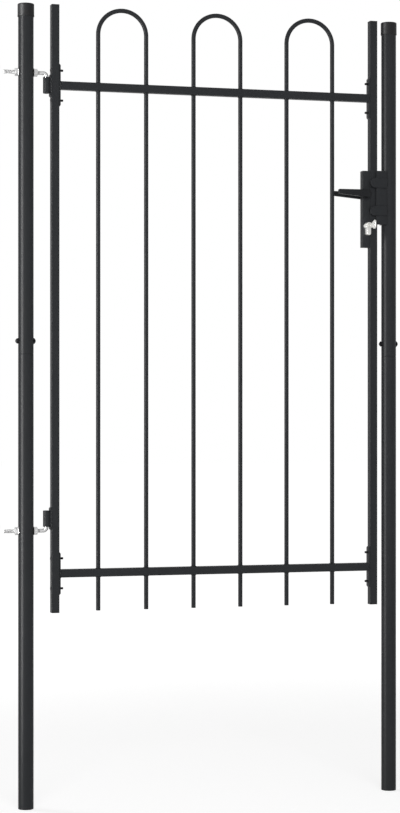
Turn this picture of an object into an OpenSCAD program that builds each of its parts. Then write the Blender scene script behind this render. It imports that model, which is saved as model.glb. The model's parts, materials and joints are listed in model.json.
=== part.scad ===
// Arched garden gate between two round posts.
// X runs from the hinge post to the latch post, Y from the front to the back,
// Z upwards. The origin is the centre of the hinge post's foot. Millimetres.

/* [Leaf] */
// Width of the leaf over its two stiles
leaf_w = 855; // [720:5:1200]
// Height of the leaf over the plugs of its stiles
leaf_h = 1500; // [1250:10:2000]
// Height of the leaf's foot above the foot of the posts
leaf_z = 480; // [300:10:700]
// Side of the square tube of the stiles and rails
tube_a = 20; // [18:0.5:26]
// Wall of the square tube
tube_wall = 1.5; // [1:0.1:2.5]
// Outside corner radius of the square tube
tube_r = 2; // [1.5:0.1:3]
// Drop from the leaf's top to the axis of the top rail
top_rail_drop = 199; // [150:1:300]
// Rise from the leaf's foot to the axis of the bottom rail
bottom_rail_rise = 97; // [80:1:200]
// Thickness of a stile plug's head
plug_head = 3; // [2:0.5:5]

/* [Hoops] */
// Diameter of the round bar of the hoops
bar_d = 11; // [8:0.5:14]
// Spacing of the bars, axis to axis, which is also a hoop's width
bar_pitch = 123; // [90:1:128]
// Rise from the leaf's foot to the lower ends of the bars
bar_foot = 3; // [0:1:30]
// Drop from the leaf's top to the crown of each hoop
hoop_drop = 1; // [0:1:30]

/* [Rail plates] */
// Height of the plate on each end of a rail
plate_h = 106; // [96:1:140]
// Thickness of the rail plates
plate_t = 3; // [2:0.5:5]
// Spacing of the two bolts of a rail plate
bolt_pitch = 74; // [60:1:80]
// Diameter of the rail plate bolts
bolt_d = 6; // [5:0.5:8]
// Length of a bolt end past its plate
bolt_end = 8; // [4:0.5:12]

/* [Posts] */
// Outside diameter of the round posts
post_od = 38; // [34:0.5:60]
// Wall of the post tubes
post_wall = 1.5; // [1.2:0.1:3]
// Height of the joint between the two tubes of a post
post_seam = 1118; // [900:1:1300]
// Length of the lower tube's neck inside the upper tube
post_neck = 70; // [50:1:150]
// Height of the joint bolt above the seam
joint_bolt_rise = 32; // [20:1:40]
// Diameter of the joint bolt
joint_bolt_d = 8; // [6:0.5:10]
// Depth of a post cap's skirt
cap_skirt = 29; // [15:1:45]
// Wall of a post cap
cap_wall = 1.5; // [1:0.1:2.5]
// Clear gap between the leaf and the latch post
latch_gap = 15.5; // [14:0.5:25]

/* [Hinges] */
// Distance from the hinge post's side to the hinge axis
hinge_reach = 32.5; // [31:0.5:50]
// Diameter of the hinge hooks
hook_d = 10; // [8:0.5:12]
// Length of a hook's thread past the far side of the post
hook_tail = 38; // [25:1:60]
// Rise from the top rail's axis to the top hook's axis
top_hook_rise = 29; // [20:1:80]
// Rise from the bottom rail's axis to the bottom hook's axis
bottom_hook_rise = 106; // [80:1:200]
// Outside diameter of the hinge eyes
eye_od = 17; // [14:0.5:20]
// Height of the hinge eyes
eye_h = 40; // [30:1:60]
// Running clearance between a hook's pin and its eye, on the radius
pin_fit = 0.08; // [0.03:0.01:0.1]
// Thickness of the plates that carry the hinge eyes
eye_plate_t = 3; // [2:0.5:5]

/* [Lock] */
// Width of the lock case beside the latch stile
case_w = 20; // [19.5:0.5:40]
// Height of the lock case
case_h = 197; // [180:1:240]
// Height of the lock case's top above the leaf's foot
case_top = 1114; // [900:1:1200]
// Wall of the lock case
case_wall = 1.5; // [1:0.1:1.6]
// Drop from the top of the case to the spindle of the handle
spindle_drop = 60; // [50:1:75]
// Spacing of the spindle and the lock cylinder
lock_centres = 82; // [70:1:92]
// Reach of the lock cylinder in front of the leaf's middle
cylinder_front = 30; // [27:1:45]
// Reach of the lock cylinder behind the leaf's middle
cylinder_back = 14; // [11:1:45]
// Reach of the lever from the spindle to its tip
lever_reach = 83; // [70:1:84]
// Height of the lever at the spindle
lever_h = 20; // [16:0.5:20]
// Distance from the face of the case to the middle of the lever
lever_stand = 19; // [16:0.5:30]
// Thickness of the lever
lever_t = 10; // [8:0.5:12]

/* [Keep] */
// Height of the keep plate
keep_h = 138; // [130:1:160]
// Thickness of the keep plate
keep_t = 3; // [2:0.5:4]
// Clear gap between the leaf's face and the keep plate
keep_gap = 5; // [5:0.5:8]
// Height of each keep finger
finger_h = 25; // [15:0.5:25]
// Thickness of a keep finger
finger_t = 4; // [3:0.5:6]

/* [Hidden] */
$fn = 96;

// Fits and small gaps
eps = 0.05;
seat = 0.05;
tube_fit = 0.25;
bolt_fit = 0.25;
weld_sink = 0.5;
slide_fit = 0.3;

// Posts
post_h = leaf_z + leaf_h;
post_foot_t = 3;
cap_crown = 3;
cap_round = 3;
cap_dome = 1.5;
cap_fit = 0.2;
cap_r = post_od / 2 + cap_fit + cap_wall;
post_tube_top = post_h - cap_dome - cap_crown;
neck_od = post_od - 2 * post_wall - 2 * tube_fit;
neck_id = neck_od - 2 * post_wall;
neck_shoulder = 15;
joint_bolt_z = post_seam + joint_bolt_rise;
joint_head_d = 15;
joint_head_h = 5.5;
joint_nut_af = 13;
joint_nut_hex = 4;
joint_nut_dome = 3.5;
joint_tip = 4;

// Leaf
axis_to_stile = eye_od / 2 - weld_sink + eye_plate_t;
hinge_x = post_od / 2 + hinge_reach;
leaf_x = hinge_x + axis_to_stile;
hinge_stile_x = leaf_x + tube_a / 2;
latch_stile_x = leaf_x + leaf_w - tube_a / 2;
latch_post_x = leaf_x + leaf_w + latch_gap + post_od / 2;
leaf_top = leaf_z + leaf_h;
top_rail_z = leaf_top - top_rail_drop;
bottom_rail_z = leaf_z + bottom_rail_rise;
tube_id = tube_a - 2 * tube_wall;
tube_ir = max(tube_r - tube_wall, 0.3);
plug_len = 16;
plug_edge = 1;

// Hoops
HOOPS = 3;
hoop_mid_x = (hinge_stile_x + latch_stile_x) / 2;
first_hoop_x = hoop_mid_x - (HOOPS - 1) * bar_pitch;
hoop_r = bar_pitch / 2;
spring_z = leaf_top - hoop_drop - bar_d / 2 - hoop_r;
bar_foot_z = leaf_z + bar_foot;

// Rail plates and their bolts
plate_bevel = 4;
bolt_head_d = 12;
bolt_head_h = 2;

// Hinges
hook_bend_r = 9;
hinge_end_gap = 0.6;
hook_pin_len = 36;
top_hook_z = top_rail_z + top_hook_rise;
bottom_hook_z = bottom_rail_z + bottom_hook_rise;
eye_offset = hook_bend_r + hinge_end_gap;
eye_plate_near = 9;
eye_plate_far = 9;
washer_d = 21;
washer_t = 1.5;
nut_af = 17;
nut_h = 8;

// Lock, handle and key
case_x = latch_stile_x - tube_a / 2 - case_w;
lock_x = case_x + case_w / 2;
case_top_z = leaf_z + case_top;
spindle_z = case_top_z - spindle_drop;
cylinder_z = spindle_z - lock_centres;
case_r = 1.5;
spindle_a = 8;
spindle_hole_d = 12;
spindle_fit = 0.1;
hub_d = 16;
hub_gap = 0.3;
hub_socket = 16;
lever_tip_h = 12;
lever_tip_rise = 3.5;
lever_heel_r = 4;
lever_edge = 2;
bolt_w = 10;
latch_h = 14;
latch_drop = 28;
latch_proud = 1.5;
latch_tail = 6;
euro_d = 17;
euro_lobe_w = 10;
euro_h = 33;
plug_d = 12;
plug_fit = 0.08;
key_t = 2.4;
key_blade_h = 8;
key_blade_len = 26;
key_neck = 18;
key_bow_h = 23;
key_bow_len = 30;
key_bow_r = 7;
key_root_h = 10;
key_hole_d = 5;
key_hole_edge = 4;
key_slot_fit = 0.1;

// Keep
keep_top_z = case_top_z;
keep_lap = 4;
keep_x = latch_stile_x + keep_lap;
keep_back_y = -tube_a / 2 - keep_gap;
keep_front_y = keep_back_y - keep_t;
keep_post_x = latch_post_x - sqrt(pow(post_od / 2, 2) - pow(keep_back_y, 2));
keep_side_x = latch_post_x - post_od / 2 - seat - keep_t;
keep_side_y = 9;
strike_play_w = 4;
strike_play_h = 8;
finger_reach = 13.5;
finger_x = latch_stile_x - finger_reach;
upper_finger_drop = 31.5;
lower_finger_drop = 103;

// ---- Shapes that repeat ----

// Outline of a square with rounded corners, in the XY plane.
module rounded_square(a, b, r) {
    square([a - 2 * r, b], center = true);
    square([a, b - 2 * r], center = true);
    for (x = [-1, 1], y = [-1, 1])
        translate([x * (a / 2 - r), y * (b / 2 - r)]) circle(r = r);
}

// Square tube of length len, standing on the XY plane.
module square_tube(len) {
    difference() {
        linear_extrude(len) rounded_square(tube_a, tube_a, tube_r);
        translate([0, 0, -1]) linear_extrude(len + 2) rounded_square(tube_id, tube_id, tube_ir);
    }
}

// Shallow dome of radius r and height h, standing on the XY plane.
module dome(r, h) {
    ball = (r * r + h * h) / (2 * h);
    intersection() {
        translate([0, 0, h - ball]) sphere(r = ball);
        cylinder(r = r + 1, h = h + 1);
    }
}

// Places its children at a point with their Z axis along +X or, mirrored, along -X.
module along_x(p, way = 1) {
    translate(p) rotate([0, way * 90, 0]) children();
}

// Places its children with their Z axis along -Y (front) or +Y (back).
module along_y(p, way = -1) {
    translate(p) rotate([-way * 90, 0, 0]) children();
}

// ---- Posts ----

// Lower tube with a closed foot and a reduced neck, and holes at the heights given.
module post_lower(x, hook_z) {
    translate([x, 0, 0]) difference() {
        union() {
            cylinder(d = post_od, h = post_seam);
            cylinder(d = neck_od, h = post_seam + post_neck);
        }
        translate([0, 0, post_foot_t])
            cylinder(d = post_od - 2 * post_wall, h = post_seam - neck_shoulder - post_foot_t);
        translate([0, 0, post_foot_t]) cylinder(d = neck_id, h = post_seam + post_neck);
        along_x([-post_od, 0, joint_bolt_z]) cylinder(d = joint_bolt_d + 2 * bolt_fit, h = 2 * post_od);
        for (z = hook_z)
            along_x([-post_od, 0, z]) cylinder(d = hook_d + 2 * bolt_fit, h = 2 * post_od);
    }
}

// Upper tube that slips over the neck.
module post_upper(x, hook_z) {
    translate([x, 0, 0]) difference() {
        translate([0, 0, post_seam]) cylinder(d = post_od, h = post_tube_top - post_seam);
        translate([0, 0, post_seam - 1]) cylinder(d = post_od - 2 * post_wall, h = post_h);
        along_x([-post_od, 0, joint_bolt_z]) cylinder(d = joint_bolt_d + 2 * bolt_fit, h = 2 * post_od);
        for (z = hook_z)
            along_x([-post_od, 0, z]) cylinder(d = hook_d + 2 * bolt_fit, h = 2 * post_od);
    }
}

// Plastic cap over the end of a post, with a rounded edge and a slight crown.
module post_cap(x) {
    crown_z = post_tube_top + cap_crown;
    translate([x, 0, 0]) difference() {
        union() {
            translate([0, 0, post_tube_top - cap_skirt])
                cylinder(r = cap_r, h = cap_skirt + cap_crown - cap_round);
            translate([0, 0, crown_z - cap_round]) cylinder(r = cap_r - cap_round, h = cap_round);
            translate([0, 0, crown_z - cap_round])
                rotate_extrude() translate([cap_r - cap_round, 0]) circle(r = cap_round);
            translate([0, 0, crown_z - eps]) dome(cap_r - cap_round, cap_dome + eps);
        }
        translate([0, 0, post_tube_top - cap_skirt - 1])
            cylinder(d = post_od + 2 * cap_fit, h = cap_skirt + 1);
    }
}

// Round-headed bolt through both tubes of a post, head on the latch side.
module joint_bolt(x) {
    head_x = x + post_od / 2 + seat;
    along_x([head_x, 0, joint_bolt_z]) dome(joint_head_d / 2, joint_head_h);
    along_x([head_x + eps, 0, joint_bolt_z], -1) cylinder(d = joint_bolt_d, h = post_od + joint_tip);
}

// Cap nut of the joint bolt, on the hinge side.
module joint_nut(x) {
    seat_x = x - post_od / 2 - seat;
    along_x([seat_x, 0, joint_bolt_z], -1) difference() {
        union() {
            cylinder(d = joint_nut_af / cos(30), h = joint_nut_hex, $fn = 6);
            translate([0, 0, joint_nut_hex - eps]) dome(joint_nut_af / 2, joint_nut_dome + eps);
        }
        translate([0, 0, -1]) cylinder(d = joint_bolt_d + 2 * bolt_fit, h = 1 + joint_tip + bolt_fit);
    }
}

module hinge_post_lower() { color("#35373a") post_lower(0, [bottom_hook_z]); }
module hinge_post_upper() { color("#35373a") post_upper(0, [top_hook_z]); }
module hinge_post_cap() { color("#222325") post_cap(0); }
module hinge_post_bolt() { color("#222325") joint_bolt(0); }
module hinge_post_nut() { color("#222325") joint_nut(0); }
module latch_post_lower() { color("#35373a") post_lower(latch_post_x, []); }
module latch_post_upper() { color("#35373a") post_upper(latch_post_x, []); }
module latch_post_cap() { color("#222325") post_cap(latch_post_x); }
module latch_post_bolt() { color("#222325") joint_bolt(latch_post_x); }
module latch_post_nut() { color("#222325") joint_nut(latch_post_x); }

// ---- Hinges ----

// Hook bolt through the hinge post, its pin turned up (way 1) or down (way -1).
module hinge_hook(z, way) {
    tail_x = -post_od / 2 - hook_tail;
    bend_x = hinge_x - hook_bend_r;
    translate([0, 0, z]) mirror([0, 0, way < 0 ? 1 : 0]) {
        along_x([tail_x, 0, 0]) cylinder(d = hook_d, h = bend_x - tail_x);
        translate([bend_x, 0, hook_bend_r]) rotate([90, 0, 0]) rotate([0, 0, -90])
            rotate_extrude(angle = 90) translate([hook_bend_r, 0]) circle(d = hook_d);
        translate([hinge_x, 0, hook_bend_r]) cylinder(d = hook_d, h = hook_pin_len + hinge_end_gap);
    }
}

// One washer on each side of the hinge post.
module hook_washers(z) {
    for (way = [-1, 1])
        along_x([way * (post_od / 2 + seat), 0, z], way) difference() {
            cylinder(d = washer_d, h = washer_t);
            translate([0, 0, -1]) cylinder(d = hook_d + 2 * bolt_fit, h = washer_t + 2);
        }
}

// One hexagon nut on each washer.
module hook_nuts(z) {
    for (way = [-1, 1])
        along_x([way * (post_od / 2 + washer_t + 2 * seat), 0, z], way) difference() {
            cylinder(d = nut_af / cos(30), h = nut_h, $fn = 6);
            translate([0, 0, -1]) cylinder(d = hook_d + 2 * seat, h = nut_h + 2);
        }
}

// Hinge eye welded to its plate on the hinge stile; way 1 stands over its hook.
module hinge_eye(z, way) {
    bore = hook_d + 2 * pin_fit;
    back_x = hinge_x + axis_to_stile;
    low = eye_offset - eye_plate_near;
    high = eye_offset + eye_h + eye_plate_far;
    translate([0, 0, z]) mirror([0, 0, way < 0 ? 1 : 0]) difference() {
        union() {
            translate([hinge_x, 0, eye_offset]) cylinder(d = eye_od, h = eye_h);
            translate([0, tube_a / 2, 0]) rotate([90, 0, 0]) linear_extrude(tube_a)
                polygon([[back_x, low], [back_x, high], [back_x - eye_plate_t, high - plate_bevel],
                         [back_x - eye_plate_t, low + plate_bevel]]);
        }
        translate([hinge_x, 0, eye_offset - 1]) cylinder(d = bore, h = eye_h + 2);
    }
}

module top_hinge_hook() { color("#b9bcc0") hinge_hook(top_hook_z, -1); }
module top_hinge_nuts() { color("#b9bcc0") hook_nuts(top_hook_z); }
module top_hinge_washers() { color("#b9bcc0") hook_washers(top_hook_z); }
module bottom_hinge_hook() { color("#b9bcc0") hinge_hook(bottom_hook_z, 1); }
module bottom_hinge_nuts() { color("#b9bcc0") hook_nuts(bottom_hook_z); }
module bottom_hinge_washers() { color("#b9bcc0") hook_washers(bottom_hook_z); }
module top_hinge_eye() { color("#2c2e30") hinge_eye(top_hook_z, -1); }
module bottom_hinge_eye() { color("#2c2e30") hinge_eye(bottom_hook_z, 1); }

// ---- Leaf ----

// Stile with bolt holes for the rail plates.
module stile(x) {
    difference() {
        translate([x, 0, leaf_z + plug_head]) square_tube(leaf_h - 2 * plug_head);
        for (z = [top_rail_z, bottom_rail_z], s = [-1, 1])
            along_x([x - tube_a, 0, z + s * bolt_pitch / 2])
                cylinder(d = bolt_d + 2 * bolt_fit, h = 2 * tube_a);
    }
}

module hinge_stile() { color("#35373a") stile(hinge_stile_x); }

// The latch stile also has a slot for the latch bolt.
module latch_stile() {
    color("#35373a") difference() {
        stile(latch_stile_x);
        translate([latch_stile_x, 0, spindle_z - latch_drop])
            cube([2 * tube_a, bolt_w + 2 * slide_fit, latch_h + 2 * slide_fit], center = true);
    }
}

// Plastic plug: a head with a bevelled edge and a body inside the tube.
module stile_plug(x, z, way) {
    body = tube_id - 2 * tube_fit;
    translate([x, 0, z]) mirror([0, 0, way < 0 ? 1 : 0]) {
        translate([0, 0, -plug_len]) linear_extrude(plug_len + eps) rounded_square(body, body, tube_ir);
        linear_extrude(plug_head - plug_edge) rounded_square(tube_a, tube_a, tube_r);
        translate([0, 0, plug_head - plug_edge - eps]) linear_extrude(plug_edge + eps)
            rounded_square(tube_a - 2 * plug_edge, tube_a - 2 * plug_edge, tube_r);
    }
}

module stile_top_plugs() {
    color("#222325") for (x = [hinge_stile_x, latch_stile_x]) stile_plug(x, leaf_top - plug_head, 1);
}

module stile_bottom_plugs() {
    color("#222325") for (x = [hinge_stile_x, latch_stile_x]) stile_plug(x, leaf_z + plug_head, -1);
}

// Rail between the two plates, drilled for the bars.
module rail(z) {
    start = hinge_stile_x + tube_a / 2 + plate_t;
    len = latch_stile_x - hinge_stile_x - tube_a - 2 * plate_t;
    difference() {
        along_x([start, 0, z]) square_tube(len);
        for (i = [0 : 2 * HOOPS - 1])
            translate([first_hoop_x - hoop_r + i * bar_pitch, 0, z - tube_a])
                cylinder(d = bar_d + 2 * bolt_fit, h = 2 * tube_a);
    }
}

// Bevelled plates welded to both ends of a rail, drilled for the bolts.
module rail_plates(z) {
    half = plate_h / 2;
    for (way = [-1, 1]) {
        face_x = way < 0 ? hinge_stile_x + tube_a / 2 : latch_stile_x - tube_a / 2;
        difference() {
            translate([face_x, tube_a / 2, z]) rotate([90, 0, 0]) linear_extrude(tube_a)
                polygon([[0, -half], [0, half], [-way * plate_t, half - plate_bevel],
                         [-way * plate_t, plate_bevel - half]]);
            for (s = [-1, 1])
                along_x([face_x - tube_a / 2, 0, z + s * bolt_pitch / 2])
                    cylinder(d = bolt_d + 2 * bolt_fit, h = tube_a);
        }
    }
}

// Bolts from the outer face of each stile, through it and the rail plate.
module rail_bolts(z) {
    shank = tube_a + plate_t + bolt_end;
    for (way = [-1, 1], s = [-1, 1]) {
        outer_x = way < 0 ? hinge_stile_x - tube_a / 2 : latch_stile_x + tube_a / 2;
        head = [outer_x, 0, z + s * bolt_pitch / 2];
        along_x(head, way) dome(bolt_head_d / 2, bolt_head_h);
        along_x([head.x + way * eps, 0, head.z], -way) cylinder(d = bolt_d, h = shank + eps);
    }
}

// Bar bent over into a hoop, with both legs through the rails.
module hoop(i) {
    leg = spring_z - bar_foot_z;
    translate([first_hoop_x + i * 2 * bar_pitch, 0, 0]) {
        for (s = [-1, 1]) translate([s * hoop_r, 0, bar_foot_z]) cylinder(d = bar_d, h = leg);
        translate([0, 0, spring_z]) rotate([90, 0, 0])
            rotate_extrude(angle = 180) translate([hoop_r, 0]) circle(d = bar_d);
    }
}

module top_rail() { color("#35373a") rail(top_rail_z); }
module bottom_rail() { color("#35373a") rail(bottom_rail_z); }
module top_rail_plates() { color("#35373a") rail_plates(top_rail_z); }
module bottom_rail_plates() { color("#35373a") rail_plates(bottom_rail_z); }
module top_rail_bolts() { color("#222325") rail_bolts(top_rail_z); }
module bottom_rail_bolts() { color("#222325") rail_bolts(bottom_rail_z); }
module hoop_1() { color("#35373a") hoop(0); }
module hoop_2() { color("#35373a") hoop(1); }
module hoop_3() { color("#35373a") hoop(2); }

// ---- Lock, handle and key ----

// Outline of the lock cylinder: a round head with a narrow lobe below it.
module euro_outline(grow) {
    lobe_drop = euro_h - euro_d / 2 - euro_lobe_w / 2;
    circle(d = euro_d + 2 * grow);
    translate([-euro_lobe_w / 2 - grow, -lobe_drop]) square([euro_lobe_w + 2 * grow, lobe_drop]);
    translate([0, -lobe_drop]) circle(d = euro_lobe_w + 2 * grow);
}

// Body of the cylinder's outline, which reaches in front of and behind the leaf's middle.
module euro_body(grow, front, back) {
    translate([lock_x, back, cylinder_z]) rotate([90, 0, 0])
        linear_extrude(front + back) euro_outline(grow);
}

// Closed steel case welded to the latch stile.
module lock_case() {
    inner = case_w - 2 * case_wall;
    color("#35373a") difference() {
        translate([lock_x, 0, case_top_z - case_h])
            linear_extrude(case_h) rounded_square(case_w, tube_a, case_r);
        translate([lock_x, 0, case_top_z - case_h / 2])
            cube([inner, tube_a - 2 * case_wall, case_h - 2 * case_wall], center = true);
        translate([case_x + case_w, 0, spindle_z - latch_drop])
            cube([case_w, bolt_w + 2 * slide_fit, latch_h + 2 * slide_fit], center = true);
        along_y([lock_x, tube_a, spindle_z]) cylinder(d = spindle_hole_d, h = 2 * tube_a);
        euro_body(slide_fit / 2, tube_a, tube_a);
    }
}

// Latch bolt, drawn back so that only its bevelled nose stands proud.
module latch_bolt() {
    tail_x = case_x + case_w - latch_tail;
    nose_x = latch_stile_x + tube_a / 2 + latch_proud;
    color("#b9bcc0") translate([0, 0, spindle_z - latch_drop - latch_h / 2])
        linear_extrude(latch_h)
            polygon([[tail_x, -bolt_w / 2], [nose_x, -bolt_w / 2], [nose_x - latch_proud, bolt_w / 2],
                     [tail_x, bolt_w / 2]]);
}

// Cylinder body with the bore for its plug.
module lock_cylinder() {
    color("#c4c6c9") difference() {
        euro_body(0, cylinder_front, cylinder_back);
        along_y([lock_x, 2 * cylinder_back, cylinder_z])
            cylinder(d = plug_d + 2 * plug_fit, h = 2 * (cylinder_front + cylinder_back));
    }
}

// Outline of a lever, level along its top and rising along its foot towards the tip.
module lever_outline() {
    tip_top = lever_tip_rise + lever_tip_h / 2;
    tip_low = lever_tip_rise - lever_tip_h / 2;
    corner_h = lever_h / 2 - lever_heel_r;
    for (s = [-1, 1]) translate([0, s * corner_h]) circle(r = lever_heel_r);
    translate([0, -corner_h]) square([lever_heel_r, 2 * corner_h]);
    polygon([[0, lever_h / 2], [-lever_reach + lever_edge, tip_top], [-lever_reach, tip_top - lever_edge],
             [-lever_reach, tip_low + lever_edge], [-lever_reach + lever_edge, tip_low],
             [0, -lever_h / 2]]);
}

// Lever with a round hub, way -1 in front and 1 behind.
module lever(way) {
    face_y = tube_a / 2;
    mid_y = face_y + lever_stand;
    hub_len = lever_stand - hub_gap;
    mirror([0, way > 0 ? 1 : 0, 0]) translate([lock_x, 0, spindle_z]) difference() {
        union() {
            translate([0, -face_y - hub_gap, 0]) rotate([90, 0, 0]) cylinder(d = hub_d, h = hub_len);
            translate([0, lever_t / 2 - mid_y, 0]) rotate([90, 0, 0])
                linear_extrude(lever_t) lever_outline();
        }
        translate([0, -face_y - hub_socket / 2, 0])
            cube([spindle_a + 2 * spindle_fit, hub_socket + 2, spindle_a + 2 * spindle_fit], center = true);
    }
}

module front_lever() { color("#2c2e30") lever(-1); }
module rear_lever() { color("#2c2e30") lever(1); }

// Square spindle through the case, into both levers.
module spindle() {
    reach = tube_a + 2 * (hub_socket - 1);
    color("#b9bcc0") translate([lock_x, 0, spindle_z])
        cube([spindle_a, reach, spindle_a], center = true);
}

// Turning plug of the cylinder, with the key's slot in its front.
module lock_plug() {
    color("#c4c6c9") difference() {
        along_y([lock_x, cylinder_back, cylinder_z]) cylinder(d = plug_d, h = cylinder_front + cylinder_back);
        translate([lock_x, key_blade_len / 2 - cylinder_front, cylinder_z])
            cube([key_t + 2 * key_slot_fit, key_blade_len + 2, key_blade_h + 2 * key_slot_fit],
                 center = true);
    }
}

// Outline of the key's bow, which widens from the neck to two round outer corners.
module key_bow(neck_y) {
    root = [neck_y, key_root_h / 2];
    corner = [neck_y - key_bow_len + key_bow_r, key_bow_h / 2 - key_bow_r];
    run = corner - root;
    slope = atan2(run.y, run.x) - asin(key_bow_r / norm(run));
    side = sqrt(run.x * run.x + run.y * run.y - key_bow_r * key_bow_r);
    touch = root + side * [cos(slope), sin(slope)];
    polygon([root, touch, corner, [corner.x, -corner.y], [touch.x, -touch.y], [root.x, -root.y]]);
    for (s = [-1, 1]) translate([corner.x, s * corner.y]) circle(r = key_bow_r);
    translate([corner.x - key_bow_r, -corner.y]) square([key_bow_r, 2 * corner.y]);
}

// Key with its bow standing upright in front of the cylinder.
module key() {
    neck_y = -cylinder_front - key_neck;
    hole_y = neck_y - key_bow_len + key_hole_edge + key_hole_d / 2;
    color("#c4c6c9") translate([lock_x - key_t / 2, 0, cylinder_z]) rotate([90, 0, 90])
        linear_extrude(key_t) difference() {
            union() {
                translate([neck_y - key_bow_r, -key_blade_h / 2])
                    square([key_blade_len + key_neck + key_bow_r, key_blade_h]);
                key_bow(neck_y);
            }
            translate([hole_y, 0]) circle(d = key_hole_d);
        }
}

// ---- Keep ----

// Angle on the latch post: the front leg stops the leaf, the side leg takes the latch.
module keep_plate() {
    front_w = keep_post_x - keep_x;
    color("#35373a") difference() {
        translate([0, 0, keep_top_z - keep_h]) {
            translate([keep_x, keep_front_y, 0]) cube([front_w, keep_t, keep_h]);
            translate([keep_side_x, keep_front_y, 0]) cube([keep_t, keep_side_y - keep_front_y, keep_h]);
        }
        translate([keep_side_x, 0, spindle_z - latch_drop])
            cube([tube_a, bolt_w + strike_play_w, latch_h + strike_play_h], center = true);
    }
}

// Two round-ended fingers across the plate, which reach in front of the latch stile.
module keep_fingers() {
    len = keep_post_x - finger_x;
    color("#35373a") for (drop = [upper_finger_drop, lower_finger_drop])
        translate([finger_x, keep_front_y, keep_top_z - drop]) rotate([90, 0, 0])
            linear_extrude(finger_t) {
                translate([finger_h / 2, 0]) circle(d = finger_h);
                translate([finger_h / 2, -finger_h / 2]) square([len - finger_h / 2, finger_h]);
            }
}

hinge_post_lower();
hinge_post_upper();
hinge_post_cap();
hinge_post_bolt();
hinge_post_nut();
latch_post_lower();
latch_post_upper();
latch_post_cap();
latch_post_bolt();
latch_post_nut();
top_hinge_hook();
top_hinge_nuts();
top_hinge_washers();
bottom_hinge_hook();
bottom_hinge_nuts();
bottom_hinge_washers();
keep_plate();
keep_fingers();
hinge_stile();
latch_stile();
stile_top_plugs();
stile_bottom_plugs();
top_rail();
bottom_rail();
top_rail_plates();
bottom_rail_plates();
top_rail_bolts();
bottom_rail_bolts();
hoop_1();
hoop_2();
hoop_3();
top_hinge_eye();
bottom_hinge_eye();
lock_case();
latch_bolt();
lock_cylinder();
front_lever();
rear_lever();
spindle();
lock_plug();
key();
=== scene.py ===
"""Looks of the arched garden gate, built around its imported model.

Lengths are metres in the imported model's frame: X runs from the hinge post to the
latch post, Y from the front of the gate to its back, and Z upwards.
"""

import json
import logging
import math
from collections.abc import Iterable, Sequence
from dataclasses import dataclass
from enum import Enum

import bmesh
import bpy
from mathutils import Matrix, Vector


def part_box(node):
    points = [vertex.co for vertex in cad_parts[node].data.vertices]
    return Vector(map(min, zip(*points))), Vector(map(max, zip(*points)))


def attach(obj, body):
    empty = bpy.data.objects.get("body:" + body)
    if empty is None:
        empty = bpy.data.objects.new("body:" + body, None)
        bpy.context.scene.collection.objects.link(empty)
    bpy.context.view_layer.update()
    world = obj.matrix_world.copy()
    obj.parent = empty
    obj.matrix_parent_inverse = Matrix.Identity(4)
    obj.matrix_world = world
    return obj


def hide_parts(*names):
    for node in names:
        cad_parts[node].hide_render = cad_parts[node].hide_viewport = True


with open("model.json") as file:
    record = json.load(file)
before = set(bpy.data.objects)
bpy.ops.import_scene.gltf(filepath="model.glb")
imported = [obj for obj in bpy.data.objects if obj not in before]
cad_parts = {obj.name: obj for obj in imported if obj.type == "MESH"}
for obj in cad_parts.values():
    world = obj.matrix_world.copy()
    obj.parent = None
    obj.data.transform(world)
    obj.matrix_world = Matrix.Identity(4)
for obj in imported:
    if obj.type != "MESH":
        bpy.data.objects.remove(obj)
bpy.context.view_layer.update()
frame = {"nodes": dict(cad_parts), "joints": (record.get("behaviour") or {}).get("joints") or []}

MM = 0.001
FULL_TURN = 2 * math.pi
UP = (0, 0, 1)
ORIGIN = (0, 0, 0)
WHITE = (1, 1, 1, 1)

# Angles between two faces: up to the first they are one flat, up to the second they are shaded
# as one surface, past the third their edge is rounded, and past the last it is a rod's rim.
FLAT_WITHIN = math.radians(0.5)
SMOOTH_BELOW = math.radians(38)
SHARP_ABOVE = math.radians(30)
RIM_ABOVE = math.radians(70)

# Points closer than this are one point.
MERGE_WITHIN = 1e-6

# A thread, in pitches: its depth, its run-in, and where its root and its crest lie.
THREAD_DEPTH = 0.6134
THREAD_RUN_IN = 0.3
THREAD_ROOT = (0.02, 0.22)
THREAD_CREST = (0.52, 0.7)

# A hexagon nut: its round face and its countersink as shares of its flats, the countersink's
# level as a share of its height, and the slope of its corners.
NUT_FACE = 0.95
NUT_SINK = 0.08
NUT_SUNK = 0.93
NUT_SLOPE = math.tan(math.radians(30))

# A weld bead: a ripple's length in radii, the ripples' depth, and the thickness of its ends.
BEAD_RIPPLE = 1.3
BEAD_DEPTH = 0.1
BEAD_END = 0.35

# A weld bead round a bar: its least width, its swell, and its ripples in half a turn.
RING_LEAST = 0.9
RING_SWELL = 0.12
RING_RIPPLES = 8

# The rounding of a bevelled plate.
PLATE_EDGE = 0.5 * MM

LOG = logging.getLogger("gate")


class Body(Enum):
    """The moving bodies that pieces ride on."""

    POSTS = "posts"
    LEAF = "leaf"
    HANDLE = "handle"
    KEY = "key_and_plug"


class Slot(Enum):
    """The record's material slots."""

    POST_COAT = "post_coat"
    LEAF_COAT = "leaf_coat"
    LEVER_COAT = "lever_coat"
    BLACK_BOLTS = "black_bolts"
    BLACK_PLASTIC = "black_plastic"
    ZINC = "zinc_plate"
    NICKEL = "nickel_plate"


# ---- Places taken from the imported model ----


@dataclass(frozen=True)
class Box:
    """The box of a CAD node at rest."""

    low: Vector
    high: Vector

    @classmethod
    def of(cls, node: str) -> "Box":
        """Measures a CAD node."""
        low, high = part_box(node)
        return cls(low, high)

    @property
    def middle(self) -> Vector:
        """The box's centre."""
        return (self.low + self.high) / 2

    @property
    def size(self) -> Vector:
        """The box's length along each axis."""
        return self.high - self.low


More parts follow.
